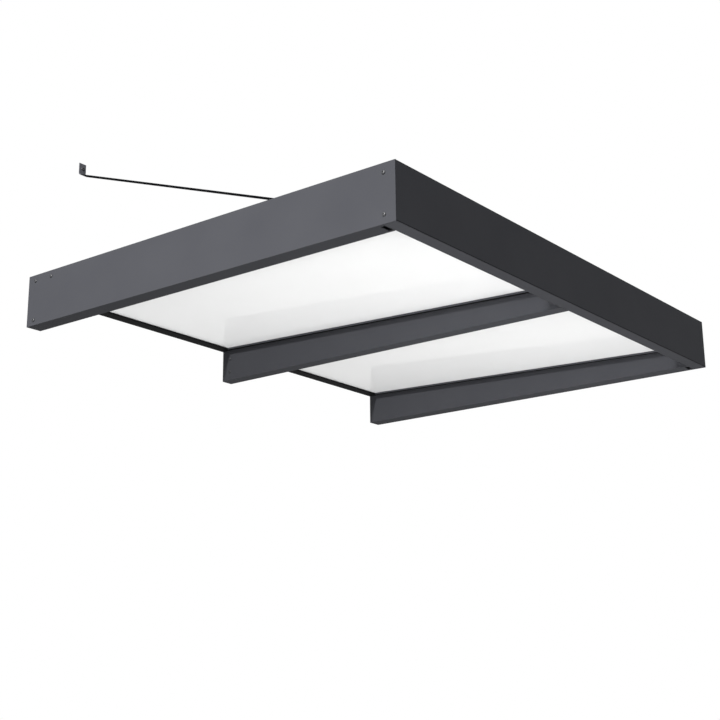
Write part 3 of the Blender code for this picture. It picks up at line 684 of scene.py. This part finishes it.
# %% [markdown]
# The points come from the solids themselves. A screw's box says where its axis runs, and its name
# says which way its head looks: away from the beam's face, to the front, or to the back.


# %% Where the screws sit
def outward_of(node):
    """The direction in which a screw's head faces."""
    if "stay_front" in node or "joint" in node:
        return Vector((0.0, 1.0, 0.0))
    if "stay_wall" in node or "wall_bolt" in node:
        return Vector((0.0, -1.0, 0.0))
    left = node.startswith("left") or node.endswith("left")
    return Vector((-1.0 if left else 1.0, 0.0, 0.0))


def seat_of(node, head_height):
    """The middle of the face that a screw's head sits on, and the length of its shank."""
    low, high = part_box(node)
    middle = (low + high) / 2
    outward = outward_of(node)
    along = abs((high - low).dot(outward))
    seat = middle + outward * (along / 2 - head_height)
    return seat, along - head_height


def named(*words):
    return sorted(node for node in nodes if all(word in node for word in words))


SIDE_SCREWS = [n for n in named("screw") if n.startswith(("left_wall", "right_wall"))]
FRONT_SCREWS = [n for n in named("screw") if n.startswith(("left_front", "right_front"))]
MIDDLE_SCREWS = [n for n in named("middle", "screw") if "joint" not in n]
print("side, front corner and middle:", len(SIDE_SCREWS), len(FRONT_SCREWS), len(MIDDLE_SCREWS))

# %% [markdown]
# Each set of screws is one piece: its points, the tree on top of them, and the sizes of its head and
# shank. The rim and the socket are shares of the head, so they follow when the head is changed.

# %% Set the screws
RIM_SHARE = 0.22
SOCKET_SHARE = 0.42


def set_screws(name, members, size, material, slot):
    """One piece with all the screws of a set, made by the tree on their seats."""
    head_radius, head_height, shank_radius = size
    seats = [seat_of(node, head_height) for node in members]
    mesh = bpy.data.meshes.new(name)
    mesh.from_pydata([seat for seat, _ in seats], [], [])
    aims = mesh.attributes.new("outward", "FLOAT_VECTOR", "POINT")
    for item, node in zip(aims.data, members):
        item.vector = outward_of(node)
    piece = bpy.data.objects.new(name, mesh)
    bpy.context.scene.collection.objects.link(piece)
    grow = piece.modifiers.new("screws", "NODES")
    grow.node_group = SCREW_TREE
    sizes = {
        "Head Radius": head_radius,
        "Head Height": head_height,
        "Rim Height": head_height * RIM_SHARE,
        "Socket Radius": head_radius * SOCKET_SHARE,
        "Shank Radius": shank_radius,
        "Shank Length": seats[0][1],
        "Material": material,
    }
    for item in SCREW_TREE.interface.items_tree:
        if item.in_out == "INPUT" and item.name in sizes:
            grow[item.identifier] = sizes[item.name]
    settle(piece)
    piece.data.shade_smooth()
    piece.data.set_sharp_from_angle(angle=EDGE_ANGLE)
    piece.data.name = name
    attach(piece, "root")
    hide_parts(*members)
    print(name, "screws:", len(members), "faces:", len(piece.data.polygons))


# The radius and height of a head and the radius of its shank, in metres.
SCREW = (0.0048, 0.0030, 0.00225)
SMALL_SCREW = (0.0038, 0.0024, 0.00175)
BOLT = (0.0065, 0.0045, 0.00325)
COATED = (SCREW_COAT, "coated_screw")
BRIGHT = (STAINLESS, "stainless_steel")
set_screws("side_screws", SIDE_SCREWS, SCREW, *COATED)
set_screws("front_corner_screws", FRONT_SCREWS, SCREW, *COATED)
set_screws("middle_beam_screws", MIDDLE_SCREWS, SMALL_SCREW, *COATED)
set_screws("stay_wall_screws", named("stay_wall_screw"), SCREW, *COATED)
set_screws("stay_front_screws", named("stay_front_screw"), SCREW, *COATED)
set_screws("joint_screws", named("joint_screw"), SCREW, *BRIGHT)
set_screws("wall_bolts", named("wall_bolt"), BOLT, *BRIGHT)

# %% [markdown]
# ## Floor and sky
#
# The canopy hangs high above a pale floor. The camera looks up past the horizon, so the background
# is the sky. It is plain white for the eye, for mirrors and for what shines through glass, and much
# dimmer as a source of light, because the modelling of the beams has to come from the lamps.

# %% Floor and sky
FLOOR_HEIGHT = -3.0
FLOOR_SIZE = 300.0
SKY_COLOUR = (0.96, 0.98, 1.0, 1.0)
SKY_LEVEL = 0.06
WHITE = (1.0, 1.0, 1.0, 1.0)


def pale_floor():
    work = bmesh.new()
    bmesh.ops.create_grid(work, x_segments=1, y_segments=1, size=FLOOR_SIZE / 2)
    mesh = bpy.data.meshes.new("floor")
    work.to_mesh(mesh)
    work.free()
    mesh.transform(Matrix.Translation((0.0, 0.0, FLOOR_HEIGHT)))
    floor = bpy.data.objects.new("floor", mesh)
    bpy.context.scene.collection.objects.link(floor)
    finish = Finish("pale_floor", 0.9)
    cloud = finish.noise(0.8, 3.0)
    finish.colour(finish.between(cloud, (0.67, 0.67, 0.66), (0.70, 0.70, 0.69)))
    finish.set("Specular IOR Level", 0.1)
    mesh.materials.append(finish.material)


def plain_sky():
    """White where it is seen or mirrored, and a dim grey as a source of light."""
    world = bpy.data.worlds.new("plain_sky")
    bpy.context.scene.world = world
    world.use_nodes = True
    tree = world.node_tree
    tree.nodes.clear()
    rays = add_node(tree, "ShaderNodeLightPath").outputs
    seen_by = rays["Is Camera Ray"]
    for kind in ("Is Glossy Ray", "Is Transmission Ray"):
        either = add_node(tree, "ShaderNodeMath", operation="MAXIMUM")
        tree.links.new(seen_by, either.inputs[0])
        tree.links.new(rays[kind], either.inputs[1])
        seen_by = either.outputs[0]
    mix = add_node(tree, "ShaderNodeMixShader")
    tree.links.new(seen_by, mix.inputs[0])
    for place, colour, level in ((1, SKY_COLOUR, SKY_LEVEL), (2, WHITE, 1.0)):
        background = add_node(tree, "ShaderNodeBackground")
        background.inputs["Color"].default_value = colour
        background.inputs["Strength"].default_value = level
        tree.links.new(background.outputs[0], mix.inputs[place])
    out = add_node(tree, "ShaderNodeOutputWorld")
    tree.links.new(mix.outputs[0], out.inputs["Surface"])


pale_floor()
plain_sky()
print("floor at", FLOOR_HEIGHT, "m, sky level", SKY_LEVEL)

# %% [markdown]
# ## The sun and the lamps
#
# A soft sun from the upper left falls through the opal sheets, which is why the beams' inner faces
# are light under a canopy, and why a ledge under a sheet draws a dark line with a soft edge below
# itself. Area lamps can't draw that line. A path tracer would need a great many samples to bring the
# sun through a scattering sheet, so the sheets are left out of what blocks it, by light linking. The
# stays are left out too: their shadows would show through the sheets as streaks, and the picture has
# none. Everything else still casts its shadow.
#
# A big lamp from the left makes the left beam the lightest face. It spares the floor, or the floor
# would throw back so much that the undersides became as light as the faces beside them. Two small
# lamps under the front half make the undersides and sheets a little lighter toward the front, where
# more daylight reaches them. A narrow lamp from the lower left does the same for the inner faces,
# and spares the left beam, which it would make too light. A last lamp behind keeps the back
# readable.

# %% Sun and lamps
SUN_WAY = Vector((0.69, 0.21, -0.69))
SUN_LEVEL = 2.85
SUN_SPREAD = math.radians(6.0)
SUN_PASSES = [node + "_dressed" for node in (*SHEETS, "left_stay", "right_stay")]
LEFT_SIDE = ("left_beam_dressed", "side_screws", "front_corner_screws")
MIDDLE = Vector((0.0, -0.59, 0.0))
FRONT_HALF = Vector((0.0, -1.0, 0.0))
RIGHT_FRONT = Vector((0.4, -1.0, 0.0))
INNER_FRONT = Vector((0.3, -1.05, -0.05))


def left_out(name, pieces):
    """A set of pieces that a lamp leaves out, of its shadows or of its light."""
    group = bpy.data.collections.new(name)
    for piece in pieces:
        group.objects.link(bpy.data.objects[piece])
    for entry in group.collection_objects:
        entry.light_linking.link_state = "EXCLUDE"
    return group


def hang_lamp(lamp, way):
    """Puts a lamp into the scene, with its light going one way."""
    holder = bpy.data.objects.new(lamp.name, lamp)
    bpy.context.scene.collection.objects.link(holder)
    holder.rotation_euler = way.to_track_quat("-Z", "Y").to_euler()
    return holder


def sun_through_sheets():
    lamp = bpy.data.lights.new("sun", "SUN")
    lamp.energy = SUN_LEVEL
    lamp.angle = SUN_SPREAD
    holder = hang_lamp(lamp, SUN_WAY)
    holder.light_linking.blocker_collection = left_out("sun_passes", SUN_PASSES)


def soft_lamp(name, place, aim, size, power, spread=180.0, spares=()):
    """A square lamp that faces a point of the canopy, isn't seen itself and spares some pieces."""
    lamp = bpy.data.lights.new(name, "AREA")
    lamp.shape = "SQUARE"
    lamp.size = size
    lamp.energy = power
    lamp.spread = math.radians(spread)
    holder = hang_lamp(lamp, aim - Vector(place))
    holder.location = place
    holder.visible_camera = False
    if spares:
        holder.light_linking.receiver_collection = left_out(name + "_spares", spares)


sun_through_sheets()
soft_lamp("left_key", (-5.4, -0.9, 1.4), aim=MIDDLE, size=2.2, power=408.0, spares=("floor",))
soft_lamp("low_left", (-1.0, -1.3, -1.3), aim=FRONT_HALF, size=1.0, power=7.1)
soft_lamp("low_right", (0.4, -1.0, -1.1), aim=RIGHT_FRONT, size=0.8, power=6.2)
soft_lamp(
    "side_fill", (-2.0, -1.15, -0.75), aim=INNER_FRONT, size=0.5, power=3.3, spread=70.0, spares=LEFT_SIDE
)
soft_lamp("behind", (1.5, 3.5, 1.2), aim=MIDDLE, size=3.0, power=30.0)

bpy.context.scene.view_settings.view_transform = "Standard"
bpy.context.view_layer.update()

# %% [markdown]
# ## Finish
